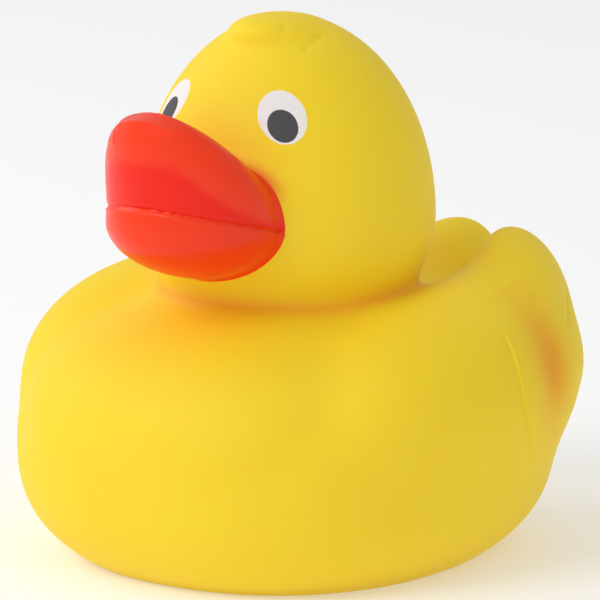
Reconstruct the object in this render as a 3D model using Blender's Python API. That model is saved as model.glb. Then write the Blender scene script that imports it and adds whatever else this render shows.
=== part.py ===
"""Rubber duck: a hollow soft-vinyl bath duck with a squeaker pressed into its flat base.

Metres, +Z up. The duck faces -Y, its left wing is on +X, and the origin is in the middle of the
base. The vinyl moulding is one solid. Its outside starts as rounded forms joined into a blank,
and the blank's surface is then settled onto the smooth blend of those forms. Its inside is the
same blend, one wall thickness deeper, and it opens through the round hole in the base.
"""
import math

import bmesh
import bpy
import numpy as np

# ---- Driving dimensions ----
WALL = 0.0026                  # vinyl wall of the moulding, at the base too
FINE_GRID = 0.0015             # quad size of the blank that is settled onto the forms
OUTER_SHARE = 0.17             # share of the settled triangles kept on the outside
INNER_SHARE = 0.075            # and on the hollow inside
BODY_HALF_WIDTH = 0.0430
BODY_HALF_LENGTH = 0.0465
BODY_Y = -0.0040               # the body and head are this far forward of the whole length's middle
HEAD_RADIUS = 0.0254
HEAD_LEVEL = 0.0580            # height of the head's widest level

HOLE_RADIUS = 0.0070           # round hole in the base
FIT_GAP = 0.0003               # clearance between the squeaker's pieces and what holds them
FLANGE_RADIUS = 0.0088
FLANGE_THICK = 0.0010
SQUEAKER_LENGTH = 0.0120
SQUEAKER_BORE = 0.0042
REED_LENGTH = 0.0070
REED_BORE = 0.0016
ROUND_SIDES = 40
SETTLE_ROUNDS = 12

# ---- Colours ----
YELLOW_VINYL = (0.86, 0.66, 0.02)
MILKY_PLASTIC = (0.80, 0.80, 0.76)
BRASS_REED = (0.70, 0.52, 0.22)


class Form:
    """One rounded mass. half holds its half sizes across, along and up, and low its half size
    downwards. power sets how square it is, and the tapers widen or deepen it towards the front."""

    def __init__(self, centre, half, pitch=0.0, yaw=0.0, roll=0.0, power=2.0, low=None,
                 widen=0.0, deepen=0.0, pair=False):
        self.centre = np.array(centre)
        self.half = half
        self.axes = local_axes(pitch, yaw, roll)
        self.power = np.broadcast_to(np.array(power), 3)
        self.low = half[2] if low is None else low
        self.widen = widen
        self.deepen = deepen
        self.pair = pair

    def depth(self, points):
        """Roughly how far outside the form each point is; negative inside it."""
        x, y, z = points.T
        offset = np.stack([np.abs(x) if self.pair else x, y, z], 1) - self.centre
        u, v, w = self.axes @ offset.T
        ahead = np.clip(-v / self.half[1], -1.0, 1.2)
        up = np.where(w > 0, self.half[2], self.low)
        sizes = np.stack([np.full_like(u, self.half[0]), np.full_like(u, self.half[1]), up])
        scaled = np.stack([u / (1 + self.widen * ahead), v, w / (1 + self.deepen * ahead)])
        ratio = np.abs(scaled) / sizes
        power = self.power[:, None]
        mean = float(self.power.mean())
        size = (ratio ** power).sum(0) + 1e-12
        slope = np.sqrt(((power * ratio ** (power - 1) / sizes) ** 2).sum(0)) + 1e-9
        level = size ** (1 / mean)
        return (level - 1) * mean * level ** (mean - 1) / slope

    def placed(self, sphere_points):
        """Points of a unit sphere moved out onto this form's surface."""
        power = float(self.power.mean())
        unit = sphere_points / ((np.abs(sphere_points) ** power).sum(1) ** (1 / power))[:, None]
        ahead = -unit[:, 1]
        up = np.where(unit[:, 2] > 0, self.half[2], self.low)
        local = np.stack([unit[:, 0] * self.half[0] * (1 + self.widen * ahead),
                          unit[:, 1] * self.half[1],
                          unit[:, 2] * up * (1 + self.deepen * ahead)], 1)
        return local @ self.axes + self.centre


def local_axes(pitch, yaw, roll):
    """Rows are the form's own axes after a turn by pitch, then yaw, then roll, in degrees."""
    p, h, r = (math.radians(angle) for angle in (pitch, yaw, roll))
    tip = np.array([[1, 0, 0], [0, math.cos(p), math.sin(p)], [0, -math.sin(p), math.cos(p)]])
    turn = np.array([[math.cos(h), math.sin(h), 0], [-math.sin(h), math.cos(h), 0], [0, 0, 1]])
    lean = np.array([[math.cos(r), 0, math.sin(r)], [0, 1, 0], [-math.sin(r), 0, math.cos(r)]])
    return lean @ turn @ tip


BODY = Form((0, BODY_Y, 0.0199), (BODY_HALF_WIDTH, BODY_HALF_LENGTH, 0.0266), power=(2.24, 2.24, 2.55))
WING = Form((0.0318, 0.0011, 0.0311), (0.0150, 0.0299, 0.0150), 1.2, 0.3, 15.7, pair=True)
WING_TIP = Form((0.0295, 0.0251, 0.0416), (0.0070, 0.0125, 0.0137), -34.6, 0, 27.0, pair=True)
TAIL = Form((0, 0.0352, 0.0314), (0.0135, 0.0090, 0.0220), -38.0)
HEAD = Form((0, BODY_Y, HEAD_LEVEL), (HEAD_RADIUS, 0.0246, 0.0337), low=0.0213)
CROWN = Form((0, BODY_Y, HEAD_LEVEL + 0.0318), (0.0075, 0.0090, 0.0028))
NECK = Form((0, BODY_Y, 0.0480), (0.0170, 0.0170, 0.0140))
BILL = Form((0, -0.0255, 0.0602), (0.0150, 0.0186, 1.0), low=0.0099, power=1.94, widen=0.14)
BILL_CORE = Form((0, -0.0255, 0.0640), (0.0140, 0.0172, 0.0120))
RIM_ROOT = (-0.0241, 0.0669)   # Y and Z where the slope of the bill's upper side starts
RIM_RISE = 41.0                # degrees that this slope rises forwards
RIM_ROUND = 0.0080             # how broadly the bill's rim is rounded over
LUMPS = (BODY, WING, WING_TIP, TAIL, HEAD, CROWN, NECK, BILL_CORE)


def blend(a, b, reach):
    """The smooth union of two depths, rounded over about reach where they meet."""
    mix = np.clip(0.5 + 0.5 * (b - a) / reach, 0, 1)
    return b * (1 - mix) + a * mix - reach * mix * (1 - mix)


def bill_depth(points):
    """An upright wall, rounded in under the chin, and cut off above by the bill's sloping top."""
    rise = math.radians(RIM_RISE)
    top = (points[:, 1] - RIM_ROOT[0]) * math.sin(rise) + (points[:, 2] - RIM_ROOT[1]) * math.cos(rise)
    return -blend(-BILL.depth(points), -top, RIM_ROUND)


def skin_depth(points):
    """Depth of each point outside the whole duck's surface; negative inside."""
    trunk = blend(BODY.depth(points), WING.depth(points), 0.0081)
    trunk = blend(trunk, WING_TIP.depth(points), 0.0060)
    trunk = blend(trunk, TAIL.depth(points), 0.0070)
    head = blend(HEAD.depth(points), NECK.depth(points), 0.0060)
    head = blend(head, CROWN.depth(points), 0.0020)
    return blend(blend(trunk, head, 0.0050), bill_depth(points), 0.0036)


def skin_slope(points):
    """Gradient of the depth at each point, by central differences."""
    step = 0.00005
    columns = []
    for axis in np.eye(3) * step:
        columns.append((skin_depth(points + axis) - skin_depth(points - axis)) / (2 * step))
    return np.stack(columns, 1)


def clear_scene():
    for obj in list(bpy.data.objects):
        bpy.data.objects.remove(obj, do_unlink=True)


def vinyl_material(name, colour, roughness, metallic=0.0):
    material = bpy.data.materials.new(name)
    material.use_nodes = True
    shader = material.node_tree.nodes["Principled BSDF"]
    shader.inputs["Base Color"].default_value = (*colour, 1.0)
    shader.inputs["Roughness"].default_value = roughness
    shader.inputs["Metallic"].default_value = metallic
    return material


def with_modifier(mesh, kind, **settings):
    """A new mesh: the given one, which is used up, with one modifier carried out on it."""
    carrier = bpy.data.objects.new("carrier", mesh)
    bpy.context.scene.collection.objects.link(carrier)
    modifier = carrier.modifiers.new(kind, kind)
    for name, value in settings.items():
        setattr(modifier, name, value)
    bpy.context.view_layer.update()
    evaluated = carrier.evaluated_get(bpy.context.evaluated_depsgraph_get())
    result = bpy.data.meshes.new_from_object(evaluated)
    bpy.data.objects.remove(carrier, do_unlink=True)
    bpy.data.meshes.remove(mesh)
    return result


def joined_blank():
    """Every form's own surface as a sphere drawn out onto it, joined by a voxel remesh."""
    work = bmesh.new()
    for form in LUMPS:
        for side in (1, -1) if form.pair else (1,):
            made = bmesh.ops.create_uvsphere(work, u_segments=48, v_segments=32, radius=1.0)["verts"]
            places = form.placed(np.array([vert.co[:] for vert in made]))
            for vert, place in zip(made, places):
                vert.co = (side * place[0], place[1], place[2])
            if side < 0:
                faces = {face for vert in made for face in vert.link_faces}
                bmesh.ops.reverse_faces(work, faces=list(faces))
    mesh = bpy.data.meshes.new("blank")
    work.to_mesh(mesh)
    work.free()
    return with_modifier(mesh, "REMESH", mode="VOXEL", voxel_size=FINE_GRID, adaptivity=0.0)


def settle(mesh, inset):
    """Moves each vertex onto the duck's surface, or inset inside it, and evens out the grid."""
    count = len(mesh.vertices)
    flat = np.empty(count * 3)
    mesh.vertices.foreach_get("co", flat)
    points = flat.reshape(-1, 3)
    edges = np.array([edge.vertices[:] for edge in mesh.edges])
    valence = np.bincount(edges.ravel(), minlength=count)[:, None]
    for _ in range(SETTLE_ROUNDS):
        total = np.zeros_like(points)
        np.add.at(total, edges[:, 0], points[edges[:, 1]])
        np.add.at(total, edges[:, 1], points[edges[:, 0]])
        points = points + 0.5 * (total / valence - points)
        for _ in range(3):
            slope = skin_slope(points)
            steep = np.maximum((slope ** 2).sum(1), 0.15)
            points = points - 0.8 * ((skin_depth(points) + inset) / steep)[:, None] * slope
    mesh.vertices.foreach_set("co", points.ravel())
    mesh.update()


def cut_flat(mesh, height):
    """Cuts the form off level at height, and closes it there with one flat face."""
    work = bmesh.new()
    work.from_mesh(mesh)
    parts = work.verts[:] + work.edges[:] + work.faces[:]
    bmesh.ops.bisect_plane(work, geom=parts, dist=1e-6, plane_co=(0, 0, height),
                           plane_no=(0, 0, -1), clear_outer=True)
    rim = [edge for edge in work.edges if edge.is_boundary]
    bmesh.ops.contextual_create(work, geom=rim)
    bmesh.ops.recalc_face_normals(work, faces=work.faces[:])
    work.to_mesh(mesh)
    work.free()


def shape_in_scene(name, share, inset, floor):
    mesh = joined_blank()
    settle(mesh, inset)
    mesh = with_modifier(mesh, "DECIMATE", ratio=share, use_symmetry=True, symmetry_axis="X")
    cut_flat(mesh, floor)
    mesh.name = name
    obj = bpy.data.objects.new(name, mesh)
    bpy.context.scene.collection.objects.link(obj)
    return obj


def hide_cutter(obj):
    obj.hide_render = True
    obj.display_type = "WIRE"


def subtract(target, cutter):
    cut = target.modifiers.new("Cut " + cutter.name, "BOOLEAN")
    cut.operation = "DIFFERENCE"
    cut.solver = "EXACT"
    cut.object = cutter


def turned(name, profile, material=None):
    """A solid turned about Z from a closed profile of (radius, height) points."""
    work = bmesh.new()
    rings = []
    for step in range(ROUND_SIDES):
        angle = 2 * math.pi * step / ROUND_SIDES
        cos, sin = math.cos(angle), math.sin(angle)
        rings.append([work.verts.new((radius * cos, radius * sin, height)) for radius, height in profile])
    for step, ring in enumerate(rings):
        following = rings[(step + 1) % ROUND_SIDES]
        for index in range(len(profile)):
            after = (index + 1) % len(profile)
            work.faces.new((ring[index], following[index], following[after], ring[after]))
    bmesh.ops.remove_doubles(work, verts=work.verts[:], dist=1e-6)
    axis_line = [edge for edge in work.edges if edge.is_wire]
    bmesh.ops.delete(work, geom=axis_line, context="EDGES")
    bmesh.ops.recalc_face_normals(work, faces=work.faces[:])
    mesh = bpy.data.meshes.new(name)
    work.to_mesh(mesh)
    work.free()
    obj = bpy.data.objects.new(name, mesh)
    bpy.context.scene.collection.objects.link(obj)
    mesh.shade_smooth()
    mesh.set_sharp_from_angle(angle=math.radians(35))
    if material is not None:
        mesh.materials.append(material)
    return obj


def make_shell():
    """The vinyl moulding: outside, less the hollow inside and the round hole in the base."""
    material = vinyl_material("yellow_vinyl", YELLOW_VINYL, 0.55)
    shell = shape_in_scene("duck_shell", OUTER_SHARE, 0.0, 0.0)
    shell.data.materials.append(material)
    hollow = shape_in_scene("hollow", INNER_SHARE, WALL, WALL)
    recess = FLANGE_RADIUS + FIT_GAP
    ledge = FLANGE_THICK + 0.0002
    hole = turned("base_hole", ((0, -0.004), (recess, -0.004), (recess, ledge), (HOLE_RADIUS, ledge),
                                (HOLE_RADIUS, 0.010), (0, 0.010)))
    for cutter in (hollow, hole):
        hide_cutter(cutter)
        subtract(shell, cutter)
    shell.data.shade_smooth()
    shell.data.set_sharp_from_angle(angle=math.radians(28))


def make_squeaker():
    """A flanged tube sunk in the base, with a barb behind the vinyl, and the reed in its bore."""
    tube = HOLE_RADIUS - FIT_GAP
    floor = 0.0002
    shoulder = floor + FLANGE_THICK - FIT_GAP
    barb = WALL + FIT_GAP
    profile = (
        (SQUEAKER_BORE, floor),
        (FLANGE_RADIUS, floor),
        (FLANGE_RADIUS, shoulder),
        (tube, shoulder),
        (tube, barb),
        (HOLE_RADIUS + 0.0007, barb + 0.0004),
        (tube - 0.0004, barb + 0.0030),
        (tube - 0.0006, SQUEAKER_LENGTH),
        (SQUEAKER_BORE, SQUEAKER_LENGTH),
    )
    turned("squeaker_body", profile, vinyl_material("milky_plastic", MILKY_PLASTIC, 0.4))
    outer = SQUEAKER_BORE - FIT_GAP
    low = 0.0030
    reed = (
        (REED_BORE, low),
        (outer, low),
        (outer, low + REED_LENGTH * 0.6),
        (outer - 0.0008, low + REED_LENGTH),
        (REED_BORE, low + REED_LENGTH),
    )
    turned("squeaker_reed", reed, vinyl_material("brass_reed", BRASS_REED, 0.35, 1.0))


clear_scene()
make_shell()
make_squeaker()
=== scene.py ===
"""Looks of the rubber duck: its vinyl skin in fine detail, the squeaker's finishes, and the studio.

Metres, +Z up. The duck faces -Y and its left wing is on +X.
"""

import math

import bpy
import numpy as np
from mathutils import Matrix, Vector


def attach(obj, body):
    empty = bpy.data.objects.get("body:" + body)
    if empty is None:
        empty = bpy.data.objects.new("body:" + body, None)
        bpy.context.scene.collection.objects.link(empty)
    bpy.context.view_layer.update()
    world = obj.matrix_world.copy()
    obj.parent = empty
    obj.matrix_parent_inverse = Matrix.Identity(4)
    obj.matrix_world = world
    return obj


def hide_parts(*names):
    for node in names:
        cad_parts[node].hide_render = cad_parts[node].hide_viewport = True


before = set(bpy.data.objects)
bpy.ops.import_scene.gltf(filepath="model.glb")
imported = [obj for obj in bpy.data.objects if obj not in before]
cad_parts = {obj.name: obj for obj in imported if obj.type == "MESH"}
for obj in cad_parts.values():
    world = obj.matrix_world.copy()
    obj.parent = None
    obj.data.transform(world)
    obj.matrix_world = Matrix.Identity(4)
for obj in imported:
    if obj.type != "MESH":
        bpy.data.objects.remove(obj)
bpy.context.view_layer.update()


# ---- The duck's form ----
class Form:
    """One rounded mass: half sizes across, along and up, with its own lower half size."""

    def __init__(self, centre, half, pitch=0.0, yaw=0.0, roll=0.0, power=2.0, low=None,
                 widen=0.0, deepen=0.0, pair=False):
        self.centre = np.array(centre, float)
        self.half = half
        self.axes = local_axes(pitch, yaw, roll)
        self.power = np.broadcast_to(np.array(power, float), 3)
        self.low = half[2] if low is None else low
        self.widen = widen
        self.deepen = deepen
        self.pair = pair

    def depth(self, points):
        x, y, z = points.T
        offset = np.stack([np.abs(x) if self.pair else x, y, z], 1) - self.centre
        u, v, w = self.axes @ offset.T
        ahead = np.clip(-v / self.half[1], -1.0, 1.2)
        up = np.where(w > 0, self.half[2], self.low)
        sizes = np.stack([np.full_like(u, self.half[0]), np.full_like(u, self.half[1]), up])
        scaled = np.stack([u / (1 + self.widen * ahead), v, w / (1 + self.deepen * ahead)])
        ratio = np.abs(scaled) / sizes
        power = self.power[:, None]
        mean = float(self.power.mean())
        size = (ratio ** power).sum(0) + 1e-12
        slope = np.sqrt(((power * ratio ** (power - 1) / sizes) ** 2).sum(0)) + 1e-9
        level = size ** (1 / mean)
        return (level - 1) * mean * level ** (mean - 1) / slope

    def placed(self, sphere_points):
        power = float(self.power.mean())
        unit = sphere_points / ((np.abs(sphere_points) ** power).sum(1) ** (1 / power))[:, None]
        ahead = -unit[:, 1]
        up = np.where(unit[:, 2] > 0, self.half[2], self.low)
        local = np.stack([unit[:, 0] * self.half[0] * (1 + self.widen * ahead),
                          unit[:, 1] * self.half[1],
                          unit[:, 2] * up * (1 + self.deepen * ahead)], 1)
        return local @ self.axes + self.centre


def local_axes(pitch, yaw, roll):
    p, h, r = (math.radians(angle) for angle in (pitch, yaw, roll))
    tip = np.array([[1, 0, 0], [0, math.cos(p), math.sin(p)], [0, -math.sin(p), math.cos(p)]])
    turn = np.array([[math.cos(h), math.sin(h), 0], [-math.sin(h), math.cos(h), 0], [0, 0, 1]])
    lean = np.array([[math.cos(r), 0, math.sin(r)], [0, 1, 0], [-math.sin(r), 0, math.cos(r)]])
    return lean @ turn @ tip


BODY = Form((0, -0.0040, 0.0199), (0.0430, 0.0465, 0.0266), power=(2.24, 2.24, 2.55))
WING = Form((0.0318, 0.0011, 0.0311), (0.0150, 0.0299, 0.0150), 1.2, 0.3, 15.7, pair=True)
WING_TIP = Form((0.0291, 0.0247, 0.0414), (0.0068, 0.0124, 0.0136), -34.6, 0, 27.0, pair=True)
WING_CREST = Form((0.0298, 0.0105, 0.0395), (0.0080, 0.0165, 0.0088), 17.0, 0, 20.0, pair=True)
TAIL = Form((0, 0.0352, 0.0314), (0.0135, 0.0090, 0.0220), -38.0)
HEAD = Form((0, -0.0040, 0.0580), (0.0254, 0.0246, 0.0337), low=0.0213)
CROWN = Form((0, -0.0062, 0.0886), (0.0078, 0.0098, 0.0036), -7.0)
NECK = Form((0, -0.0040, 0.0480), (0.0170, 0.0170, 0.0140))
BILL = Form((0, -0.0255, 0.0602), (0.0150, 0.0186, 1.0), low=0.0099, power=1.94, widen=0.14)
BILL_CORE = Form((0, -0.0255, 0.0640), (0.0140, 0.0172, 0.0120))
BLANK_FORMS = (BODY, WING, WING_TIP, WING_CREST, TAIL, HEAD, CROWN, NECK, BILL_CORE)


def blend(a, b, reach):
    """The smooth union of two depths."""
    mix = np.clip(0.5 + 0.5 * (b - a) / reach, 0, 1)
    return b * (1 - mix) + a * mix - reach * mix * (1 - mix)


def overlap(a, b, reach):
    """The smooth intersection of two depths."""
    return -blend(-a, -b, reach)


def side_of(points, through, pitch):
    """Height above a plane that holds the X direction and rises forwards by pitch degrees."""
    p = math.radians(pitch)
    return (points[:, 1] - through[0]) * math.sin(p) + (points[:, 2] - through[1]) * math.cos(p)


MOUTH_CORNER = (-0.0237, 0.0590)      # Y and Z of the corner where the lips meet the face
MOUTH_RISE = 14.5                     # degrees
RIM_ROOT = (-0.0241, 0.0669)          # Y and Z where the plane of the upper rim starts
RIM_RISE = 41.0


def above_mouth(points):
    return side_of(points, MOUTH_CORNER, MOUTH_RISE)


def bill_depth(points):
    return overlap(BILL.depth(points), side_of(points, RIM_ROOT, RIM_RISE), 0.0080)


def duck_depth(points):
    trunk = blend(BODY.depth(points), WING.depth(points), 0.0081)
    trunk = blend(trunk, blend(WING_TIP.depth(points), WING_CREST.depth(points), 0.0060), 0.0060)
    trunk = blend(trunk, TAIL.depth(points), 0.0070)
    head = blend(HEAD.depth(points), NECK.depth(points), 0.0060)
    head = blend(head, CROWN.depth(points), 0.0018)
    return blend(trunk, head, 0.0040)


def skin_depth(points):
    return blend(duck_depth(points), bill_depth(points), 0.0026)


def skin_slope(points):
    step = 0.00003
    columns = []
    for axis in np.eye(3) * step:
        columns.append((skin_depth(points + axis) - skin_depth(points - axis)) / (2 * step))
    return np.stack(columns, 1)


# ---- Working by hand in Blender ----
def deselect_all():
    if bpy.context.object is not None and bpy.context.object.mode != "OBJECT":
        bpy.ops.object.mode_set(mode="OBJECT")
    bpy.ops.object.select_all(action="DESELECT")


def pick(*objects):
    deselect_all()
    for obj in objects:
        obj.select_set(True)
    bpy.context.view_layer.objects.active = objects[0]


def apply_all(obj):
    pick(obj)
    for modifier in list(obj.modifiers):
        bpy.ops.object.modifier_apply(modifier=modifier.name)


def read_points(mesh):
    flat = np.empty(len(mesh.vertices) * 3)
    mesh.vertices.foreach_get("co", flat)
    return flat.reshape(-1, 3)


def write_points(mesh, points):
    mesh.vertices.foreach_set("co", points.ravel())
    mesh.update()


# ---- The skin ----
SKIN_GRID = 0.0009


def rough_duck():
    """A sphere for each mass, drawn out to its shape, all joined."""
    lumps = []
    for form in BLANK_FORMS:
        for side in (1, -1) if form.pair else (1,):
            deselect_all()
            bpy.ops.mesh.primitive_uv_sphere_add(segments=64, ring_count=40, radius=1.0)
            lump = bpy.context.object
            places = form.placed(read_points(lump.data))
            places[:, 0] *= side
            write_points(lump.data, places)
            if side < 0:
                bpy.ops.object.mode_set(mode="EDIT")
                bpy.ops.mesh.select_all(action="SELECT")
                bpy.ops.mesh.flip_normals()
                bpy.ops.object.mode_set(mode="OBJECT")
            lumps.append(lump)
    pick(*lumps)
    bpy.ops.object.join()
    skin = bpy.context.object
    join = skin.modifiers.new("Join", "REMESH")
    join.mode = "VOXEL"
    join.voxel_size = SKIN_GRID
    apply_all(skin)
    return skin


def settle(mesh, rounds):
    """Moves the skin onto the duck's form, and evens out its grid as it goes."""
    points = read_points(mesh)
    edges = np.empty(len(mesh.edges) * 2, np.int32)
    mesh.edges.foreach_get("vertices", edges)
    edges = edges.reshape(-1, 2)
    count = len(points)
    valence = np.bincount(edges.ravel(), minlength=count)[:, None]
    for turn in range(rounds):
        total = np.stack([np.bincount(edges[:, 0], points[edges[:, 1], k], count)
                          + np.bincount(edges[:, 1], points[edges[:, 0], k], count)
                          for k in range(3)], 1)
        points = points + 0.5 * (total / valence - points)
        for _ in range(2):
            slope = skin_slope(points)
            steep = np.maximum((slope ** 2).sum(1), 0.2)
            shift = 0.85 * (skin_depth(points) / steep)[:, None] * slope
            length = np.linalg.norm(shift, axis=1)[:, None] + 1e-12
            points = points - shift * np.minimum(1, 0.0025 / length)
    write_points(mesh, points)


def cut_base(skin):
    pick(skin)
    bpy.ops.object.mode_set(mode="EDIT")
    bpy.ops.mesh.select_all(action="SELECT")
    bpy.ops.mesh.bisect(plane_co=(0, 0, 0), plane_no=(0, 0, 1), clear_inner=True, use_fill=True)
    bpy.ops.object.mode_set(mode="OBJECT")


def set_field(mesh, name, values):
    field = mesh.attributes.new(name, "FLOAT", "POINT")
    field.data.foreach_set("value", np.asarray(values, np.float32))


def follow(points, normals, path):
    """For each point: its distance to a path, how far along it is (0 to 1), and the offset to
    the path's left. The path is on the left half, and points on the right are mirrored."""
    flip = np.where(points[:, :1] < 0, -1.0, 1.0) * np.array([[1, 0, 0]]) + np.array([[0, 1, 1]])
    own, out = points * flip, normals * flip
    path = np.array(path)
    ends = np.concatenate([[0], np.cumsum(np.linalg.norm(np.diff(path, axis=0), axis=1))])
    best = np.full(len(own), 9.0)
    share = np.zeros(len(own))
    left = np.zeros(len(own))
    for start, end, reached, goal in zip(path[:-1], path[1:], ends[:-1], ends[1:]):
        run = end - start
        t = np.clip((own - start) @ run / (run @ run), 0, 1)
        gap = own - start - t[:, None] * run
        span = np.linalg.norm(gap, axis=1)
        nearer = span < best
        best = np.where(nearer, span, best)
        share = np.where(nearer, (reached + t * (goal - reached)) / ends[-1], share)
        left = np.where(nearer, (gap * np.cross(out, run / np.linalg.norm(run))).sum(1), left)
    return best, share, left


def bump(value, width):
    return np.exp(-(value / width) ** 2)


def ramp(value, low, high):
    t = np.clip((value - low) / (high - low), 0, 1)
    return t * t * (3 - 2 * t)


WING_GROOVE = ((0.0416, 0.0003, 0.0424), (0.0446, -0.0007, 0.0388), (0.0461, -0.0010, 0.0358),
               (0.0470, -0.0008, 0.0313), (0.0467, 0.0011, 0.0267), (0.0455, 0.0038, 0.0224),
               (0.0422, 0.0094, 0.0157))
FEATHER_SPLIT = ((0.0354, 0.0289, 0.0432), (0.0385, 0.0235, 0.0405), (0.0428, 0.0164, 0.0380))
FEATHER_WEDGE = ((0.0415, 0.0225, 0.0270), (0.0425, 0.0200, 0.0258), (0.0434, 0.0167, 0.0243))
LOCK_FRONT = ((0.0054, -0.0117, 0.0912), (0.0050, -0.0129, 0.0888))
LOCK_SIDE = ((0.0092, -0.0068, 0.0893), (0.0095, -0.0113, 0.0877))
SHOULDER_VALLEY = ((0.0248, -0.0106, 0.0451), (0.0223, -0.0217, 0.0428), (0.0307, -0.0305, 0.0366),
                   (0.0317, -0.0339, 0.0322), (0.0274, -0.0417, 0.0246))
WING_DISH = (0.0454, 0.0110, 0.0350)


def outward(points):
    slope = skin_slope(points)
    return slope / (np.linalg.norm(slope, axis=1)[:, None] + 1e-9)


def near_detail(points, reach):
    """True where fine lines are cut: the mouth, the wing's lines and the crown's."""
    normals = outward(points)
    bill = bill_depth(points)
    found = (np.abs(above_mouth(points)) < reach) & (bill < 0.0008)
    found |= (np.abs(duck_depth(points) - bill) < 0.6 * reach) & (bill < 0.0020)
    for path in (WING_GROOVE, FEATHER_SPLIT, FEATHER_WEDGE, LOCK_FRONT, LOCK_SIDE):
        found |= follow(points, normals, path)[0] < reach
    return found


def refine(skin, reach):
    """Splits the faces along the fine lines, and sets the new points on the form."""
    mesh = skin.data
    centres = np.array([face.center[:] for face in mesh.polygons])
    chosen = near_detail(centres, reach)
    pick(skin)
    bpy.ops.object.mode_set(mode="EDIT")
    bpy.ops.mesh.select_mode(type="FACE")
    bpy.ops.mesh.select_all(action="DESELECT")
    bpy.ops.object.mode_set(mode="OBJECT")
    mesh.polygons.foreach_set("select", chosen)
    bpy.ops.object.mode_set(mode="EDIT")
    bpy.ops.mesh.subdivide(number_cuts=1)
    bpy.ops.object.mode_set(mode="OBJECT")
    points = read_points(mesh)
    near = near_detail(points, reach + 0.001) & (points[:, 2] > 0.001)
    moved = points[near]
    for _ in range(2):
        slope = skin_slope(moved)
        steep = np.maximum((slope ** 2).sum(1), 0.3)
        moved = moved - 0.8 * (skin_depth(moved) / steep)[:, None] * slope
    points[near] = moved
    write_points(mesh, points)


def relief(points, normals):
    """Height of the fine shapes over the plain form, in metres."""
    height = np.zeros(len(points))
    # mouth: both lips turn in to a narrow groove, and the lower lip has a fine raised edge
    s = above_mouth(points)
    on_bill = ramp(-bill_depth(points), -0.0012, -0.0002) * ramp(duck_depth(points), -0.0005, 0.0010)
    middle = 1 - ramp(np.abs(points[:, 0]), 0.0020, 0.0130)
    turn_in = np.where(s > 0, bump(s, 0.0034), bump(s, 0.0016))
    height -= on_bill * (0.00020 + 0.00045 * middle) * turn_in
    height -= on_bill * 0.00040 * np.exp(-np.abs(s) / 0.00030)
    height += on_bill * 0.00018 * bump(s + 0.00065, 0.00030)
    # wing groove: a fine raised edge in front and a shallow cut behind
    gap, share, left = follow(points, normals, WING_GROOVE)
    fade = ramp(share, 0.0, 0.12) * (1 - ramp(share, 0.55, 1.0)) * bump(gap, 0.005)
    height += fade * 0.00016 * bump(left - 0.00035, 0.00035)
    height -= fade * 0.00034 * np.where(left < 0, np.exp(left / 0.0016), 0) * ramp(-left, -0.0001, 0.0003)
    # the tip feather overlaps the next one, and that one the last
    for path, step in ((FEATHER_SPLIT, 0.00050), (FEATHER_WEDGE, 0.00035)):
        gap, share, left = follow(points, normals, path)
        fade = (1 - ramp(share, 0.35, 1.0)) * bump(gap, 0.0040)
        height -= fade * step * np.exp(-np.abs(left) / 0.0007)
    # dished hollow behind the wing's middle
    own = np.stack([np.abs(points[:, 0]), points[:, 1], points[:, 2]], 1) - np.array(WING_DISH)
    height -= 0.0009 * np.exp(-(own[:, 1] / 0.0065) ** 2 - (own[:, 2] / 0.0095) ** 2) * (own[:, 0] > -0.012)
    # crown lock lines
    for path in (LOCK_FRONT, LOCK_SIDE):
        gap, share, left = follow(points, normals, path)
        height -= 0.00025 * bump(gap, 0.0006)
    # soft valley in front of each wing
    gap, share, left = follow(points, normals, SHOULDER_VALLEY)
    height -= 0.0006 * bump(gap, 0.0045) * ramp(share, 0.0, 0.2)
    return height


EYE = (0.01145, -0.0203, 0.0775)
EYE_UP = (-0.193, 0.439, 0.878)
EYE_ACROSS = (0.812, 0.578, 0.086)
EYE_HALF = (0.00407, 0.00467)
PUPIL_DROP = 0.00155
PUPIL_HALF = (0.00257, 0.00282)


def oval(points, drop, half):
    """Distance inside an oval printed on each side of the head, in millimetres."""
    own = np.stack([np.abs(points[:, 0]), points[:, 1], points[:, 2]], 1) - np.array(EYE)
    across = own @ np.array(EYE_ACROSS)
    up = own @ np.array(EYE_UP) + drop
    face = own @ np.cross(EYE_ACROSS, EYE_UP)
    level = np.sqrt((across / half[0]) ** 2 + (up / half[1]) ** 2)
    inside = (1 - level) * (half[0] + half[1]) * 500
    return np.where(np.abs(face) < 0.008, np.maximum(inside, -2.0), -2.0)


def painted_mouth_shade(points):
    """1 on the deeper red band above the mouth, painted shade where the glossy bill reflects less of the
    bright room, which thins out to the corners.
    """
    s = above_mouth(points)
    side = np.abs(points[:, 0])
    top = 0.0064 * (1 - ramp(side, 0.0050, 0.0165)) + 0.0012
    return ramp(s, -0.0002, 0.0002) * (1 - ramp(s, top - 0.0008, top + 0.0006))


def painted_hollow_shade(points):
    """1 where painted shade turns the yellow orange: in the crease round the neck and behind the bill, and
    in the wings' dishes.
    """
    own = np.stack([np.abs(points[:, 0]), points[:, 1], points[:, 2]], 1)
    dish = own - np.array(WING_DISH)
    hollow_shade = 0.85 * np.exp(-(dish[:, 1] / 0.0055) ** 2 - (dish[:, 2] / 0.0088) ** 2)
    hollow_shade = hollow_shade * (dish[:, 0] > -0.010)
    # painted shade along the crease where the head meets the trunk
    head = blend(HEAD.depth(points), NECK.depth(points), 0.0060)
    trunk = blend(BODY.depth(points), WING.depth(points), 0.0081)
    crease = bump(np.maximum(np.abs(head), np.abs(trunk)), 0.0022)
    return np.clip(hollow_shade + 0.8 * crease, 0, 1)


def rim_tint(points):
    """1 on an orange band on the face just past the bill's upper rim, kept to the rim's heights."""
    past = bill_depth(points) - duck_depth(points)
    height = points[:, 2]
    strength = ramp(height, 0.0630, 0.0680) * (1 - ramp(height, 0.0700, 0.0770))
    return strength * (1 - ramp(past, 0.0, 0.0026))


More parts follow.
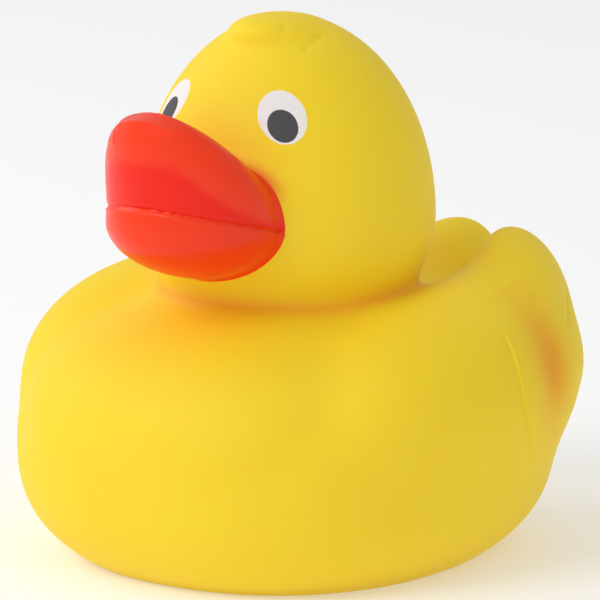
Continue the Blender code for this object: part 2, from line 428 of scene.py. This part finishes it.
def cut_base_hole(skin):
    """A stepped round hole for the squeaker's flange and tube."""
    flange, ledge, tube, roof = 0.0091, 0.0012, 0.0070, 0.0145
    deselect_all()
    bpy.ops.mesh.primitive_cylinder_add(vertices=96, radius=flange, depth=ledge + 0.004,
                                        location=(0, 0, (ledge - 0.004) / 2))
    cutter = bpy.context.object
    bpy.ops.object.transform_apply(location=True, rotation=True, scale=True)
    bpy.ops.object.mode_set(mode="EDIT")
    bpy.ops.mesh.select_mode(type="FACE")
    bpy.ops.mesh.select_all(action="DESELECT")
    bpy.ops.object.mode_set(mode="OBJECT")
    for face in cutter.data.polygons:
        face.select = face.normal.z > 0.9
    bpy.ops.object.mode_set(mode="EDIT")
    bpy.ops.mesh.inset(thickness=flange - tube)
    bpy.ops.mesh.extrude_region_move(TRANSFORM_OT_translate={"value": (0, 0, roof - ledge)})
    bpy.ops.object.mode_set(mode="OBJECT")
    hole = skin.modifiers.new("Base hole", "BOOLEAN")
    hole.operation = "DIFFERENCE"
    hole.solver = "EXACT"
    hole.object = cutter
    apply_all(skin)
    bpy.data.objects.remove(cutter, do_unlink=True)


skin = rough_duck()
settle(skin.data, 20)
refine(skin, 0.0018)
refine(skin, 0.0010)
cut_base(skin)
skin.name = "vinyl_skin"
skin.data.name = "vinyl_skin"
points = read_points(skin.data)
set_field(skin.data, "bill_paint", (duck_depth(points) - bill_depth(points)) * 1000)
set_field(skin.data, "eye_white", oval(points, 0.0, EYE_HALF))
set_field(skin.data, "eye_pupil", oval(points, PUPIL_DROP, PUPIL_HALF))
set_field(skin.data, "painted_mouth_shade", painted_mouth_shade(points))
set_field(skin.data, "painted_hollow_shade", painted_hollow_shade(points))
set_field(skin.data, "rim_tint", rim_tint(points))
normals = outward(points)
lifted = points + normals * (relief(points, normals) * ramp(points[:, 2], 0.0005, 0.003))[:, None]
write_points(skin.data, lifted)
cut_base_hole(skin)


# ---- Materials ----
def new_material(name):
    material = bpy.data.materials.new(name)
    material.use_nodes = True
    tree = material.node_tree
    return material, tree, tree.nodes["Principled BSDF"]


def node(tree, kind, **settings):
    made = tree.nodes.new(kind)
    for key, value in settings.items():
        setattr(made, key, value)
    return made


def crisp(tree, attribute, low, high):
    """A mask from a distance field on the skin, with a narrow soft edge, in millimetres."""
    field = node(tree, "ShaderNodeAttribute", attribute_name=attribute)
    edge = node(tree, "ShaderNodeMapRange", interpolation_type="SMOOTHSTEP")
    edge.inputs["From Min"].default_value = low
    edge.inputs["From Max"].default_value = high
    tree.links.new(field.outputs["Fac"], edge.inputs["Value"])
    return edge.outputs[0]


def mixed(tree, mask, first, second):
    """Colour or number that goes from the first to the second with the mask."""
    kind = "FLOAT" if isinstance(second, float) else "RGBA"
    mix = node(tree, "ShaderNodeMix", data_type=kind)
    slots = (6, 7, 2) if kind == "RGBA" else (2, 3, 0)
    tree.links.new(mask, mix.inputs[0])
    for slot, value in ((slots[0], first), (slots[1], second)):
        if isinstance(value, bpy.types.NodeSocket):
            tree.links.new(value, mix.inputs[slot])
        elif kind == "RGBA":
            mix.inputs[slot].default_value = (*value, 1)
        else:
            mix.inputs[slot].default_value = value
    return mix.outputs[slots[2]]


def vinyl():
    material, tree, shader = new_material("painted_vinyl")
    link = tree.links.new
    place = node(tree, "ShaderNodeTexCoord")
    cloud = node(tree, "ShaderNodeTexNoise")
    cloud.inputs["Scale"].default_value = 55.0
    cloud.inputs["Detail"].default_value = 3.0
    link(place.outputs["Object"], cloud.inputs["Vector"])
    grain = node(tree, "ShaderNodeTexNoise")
    grain.inputs["Scale"].default_value = 3800.0
    grain.inputs["Detail"].default_value = 2.0
    link(place.outputs["Object"], grain.inputs["Vector"])
    yellow = mixed(tree, cloud.outputs["Fac"], (0.950, 0.665, 0.018), (0.960, 0.705, 0.026))
    bill = crisp(tree, "bill_paint", -0.02, 0.10)
    white = crisp(tree, "eye_white", -0.05, 0.05)
    pupil = crisp(tree, "eye_pupil", -0.06, 0.06)
    # painted shade: the yellow turns orange in the hollows round the neck, behind the bill and in the
    # wings' dishes
    hollow_shade = node(tree, "ShaderNodeAttribute", attribute_name="painted_hollow_shade").outputs["Fac"]
    yellow = mixed(tree, hollow_shade, yellow, (0.93, 0.32, 0.004))
    past_rim = node(tree, "ShaderNodeAttribute", attribute_name="rim_tint").outputs["Fac"]
    yellow = mixed(tree, past_rim, yellow, (0.96, 0.27, 0.018))
    colour = mixed(tree, white, yellow, (0.87, 0.845, 0.83))
    charcoal = mixed(tree, grain.outputs["Fac"], (0.035, 0.035, 0.040), (0.11, 0.11, 0.115))
    colour = mixed(tree, pupil, colour, charcoal)
    # painted shade: a deeper red band above the mouth where the glossy bill reflects less light
    shade = node(tree, "ShaderNodeAttribute", attribute_name="painted_mouth_shade").outputs["Fac"]
    red = mixed(tree, shade, (0.95, 0.045, 0.006), (0.90, 0.012, 0.001))
    colour = mixed(tree, bill, colour, red)
    link(colour, shader.inputs["Base Color"])
    link(mixed(tree, bill, 0.58, 0.30), shader.inputs["Roughness"])
    shader.inputs["Specular IOR Level"].default_value = 0.28
    shader.inputs["Subsurface Weight"].default_value = 0.25
    shader.inputs["Subsurface Radius"].default_value = (1.0, 0.40, 0.06)
    shader.inputs["Subsurface Scale"].default_value = 0.0030
    bumps = node(tree, "ShaderNodeBump")
    bumps.inputs["Distance"].default_value = 0.00002
    link(mixed(tree, bill, 0.22, 0.04), bumps.inputs["Strength"])
    link(grain.outputs["Fac"], bumps.inputs["Height"])
    link(bumps.outputs["Normal"], shader.inputs["Normal"])
    return material


skin.data.materials.clear()
skin.data.materials.append(vinyl())
pick(skin)
bpy.ops.object.shade_smooth_by_angle(angle=math.radians(40))
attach(skin, "root")
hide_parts("duck_shell")


def plain(name, colour, roughness, metallic=0.0):
    material, tree, shader = new_material(name)
    link = tree.links.new
    place = node(tree, "ShaderNodeTexCoord")
    noise = node(tree, "ShaderNodeTexNoise")
    noise.inputs["Scale"].default_value = 900.0
    link(place.outputs["Object"], noise.inputs["Vector"])
    shade = node(tree, "ShaderNodeMix", data_type="RGBA")
    shade.inputs[6].default_value = (*[c * 0.9 for c in colour], 1)
    shade.inputs[7].default_value = (*colour, 1)
    link(noise.outputs["Fac"], shade.inputs[0])
    link(shade.outputs[2], shader.inputs["Base Color"])
    shader.inputs["Roughness"].default_value = roughness
    shader.inputs["Metallic"].default_value = metallic
    return material


for name, finish in (("squeaker_body", plain("milky_plastic_finish", (0.80, 0.80, 0.76), 0.4)),
                     ("squeaker_reed", plain("brass_finish", (0.70, 0.52, 0.22), 0.35, 1.0))):
    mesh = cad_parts[name].data
    mesh.materials.clear()
    mesh.materials.append(finish)


# ---- Studio ----
def studio():
    deselect_all()
    bpy.ops.mesh.primitive_plane_add(size=4.0, location=(0, 0, 0))
    floor = bpy.context.object
    floor.name = "studio_floor"
    material, tree, shader = new_material("white_paper")
    shader.inputs["Base Color"].default_value = (0.80, 0.80, 0.80, 1)
    shader.inputs["Roughness"].default_value = 0.9
    shader.inputs["Emission Color"].default_value = (1, 1, 1, 1)
    shader.inputs["Emission Strength"].default_value = 0.26
    floor.data.materials.append(material)
    world = bpy.data.worlds.new("studio_air")
    bpy.context.scene.world = world
    world.use_nodes = True
    world.node_tree.nodes["Background"].inputs["Color"].default_value = (1, 1, 1, 1)
    world.node_tree.nodes["Background"].inputs["Strength"].default_value = 0.62
    target = Vector((0, -0.0043, 0.044))
    for name, place, size, power in (
            ("key_softbox", (-0.25, -0.95, 0.85), (0.7, 0.5), 5.0),
            ("side_softbox", (-0.95, -0.2, 0.6), (0.5, 0.7), 2.0)):
        bpy.ops.object.light_add(type="AREA", location=place)
        lamp = bpy.context.object
        lamp.name = name
        lamp.data.shape = "RECTANGLE"
        lamp.data.size, lamp.data.size_y = size
        lamp.data.energy = power
        lamp.rotation_euler = (target - Vector(place)).to_track_quat("-Z", "Y").to_euler()


def camera():
    az, el, reach = math.radians(37.6), math.radians(11.4), 0.892
    target = Vector((0, -0.0043, 0.044))
    towards = Vector((math.sin(az) * math.cos(el), -math.cos(az) * math.cos(el), math.sin(el)))
    bpy.ops.object.camera_add(location=target + towards * reach)
    eye = bpy.context.object
    eye.rotation_euler = (-towards).to_track_quat("-Z", "Y").to_euler()
    eye.data.lens = 36.0 * reach / 0.102
    eye.data.shift_x = 0.0226
    eye.data.shift_y = -0.0119
    bpy.context.scene.camera = eye


studio()
camera()
scene = bpy.context.scene
scene.view_settings.view_transform = "Standard"
